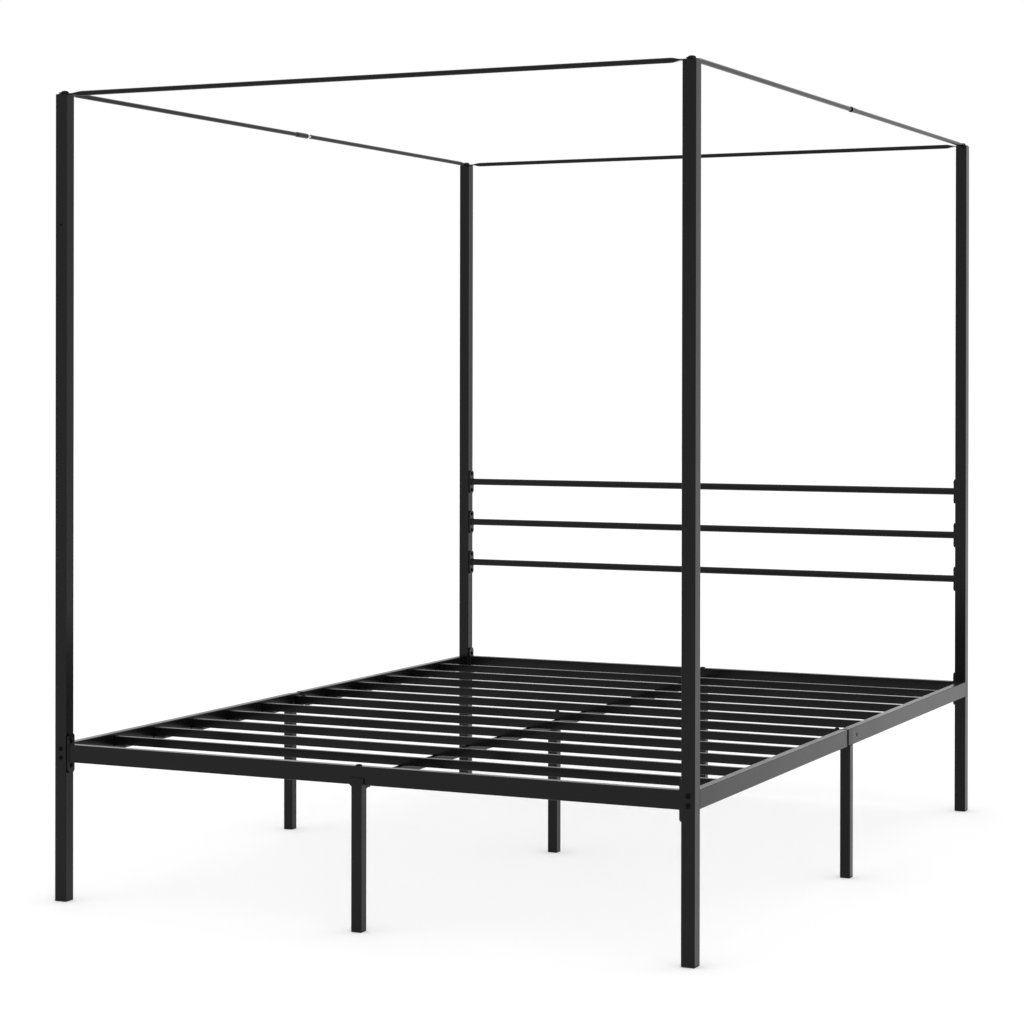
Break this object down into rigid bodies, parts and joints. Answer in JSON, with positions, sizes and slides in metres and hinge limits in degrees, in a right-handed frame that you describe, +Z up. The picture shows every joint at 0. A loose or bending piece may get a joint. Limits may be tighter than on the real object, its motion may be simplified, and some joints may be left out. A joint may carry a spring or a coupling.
{
  "type": "four poster canopy bed",
  "caption": "Black steel four poster bed with a slatted platform, a low headboard of round bars and a frame of thin round rods joining the post tops.",
  "frame": {"origin": "on the floor, under the middle of the bed", "axes": "+Z up, +Y towards the head end, +X towards the right side as seen from the foot"},
  "size_m": [1.55, 2.1064, 1.8388],
  "materials": {
    "frame_steel": "semi-gloss black powder coat with a fine texture",
    "bolt_steel": "black coated screw steel",
    "plated_steel": "bright zinc plating",
    "glide_plastic": "moulded matt black plastic"
  },
  "bodies": {
    "root": {"post_foot_left": "frame_steel", "post_foot_right": "frame_steel", "post_head_left": "frame_steel", "post_head_right": "frame_steel", "foot_rail": "frame_steel", "head_rail": "frame_steel", "side_rail_right_front": "frame_steel", "side_rail_right_rear": "frame_steel", "side_rail_left_front": "frame_steel", "side_rail_left_rear": "frame_steel", "headboard_bar_top": "frame_steel", "headboard_bar_middle": "frame_steel", "headboard_bar_low": "frame_steel", "canopy_rod_foot": "frame_steel", "canopy_rod_head": "frame_steel", "canopy_rod_left_front": "frame_steel", "canopy_rod_left_rear": "frame_steel", "canopy_rod_right_front": "frame_steel", "canopy_rod_right_rear": "frame_steel", "canopy_coupler_left": "frame_steel", "canopy_coupler_right": "frame_steel", "slat_1": "frame_steel", "slat_2": "frame_steel", "slat_3": "frame_steel", "slat_4": "frame_steel", "slat_5": "frame_steel", "slat_6": "frame_steel", "slat_7": "frame_steel", "slat_8": "frame_steel", "slat_9": "frame_steel", "slat_10": "frame_steel", "slat_11": "frame_steel", "centre_beam_front": "frame_steel", "centre_beam_rear": "frame_steel", "leg_foot_centre": "frame_steel", "leg_head_centre": "frame_steel", "leg_middle": "frame_steel", "leg_left": "frame_steel", "leg_right": "frame_steel", "leg_bracket_foot": "frame_steel", "leg_bracket_head": "frame_steel", "end_rail_bolts": "bolt_steel", "side_rail_bolts": "bolt_steel", "side_rail_joint_screws": "bolt_steel", "headboard_bolts": "bolt_steel", "canopy_bolts": "bolt_steel", "slat_bolts": "bolt_steel", "beam_end_screws": "bolt_steel", "leg_bolts": "bolt_steel", "post_weld_nuts": "plated_steel", "rail_weld_nuts": "plated_steel", "slat_bolt_nuts": "plated_steel", "canopy_studs": "plated_steel", "post_glides": "glide_plastic", "leg_glides": "glide_plastic"}
  },
  "joints": []
}
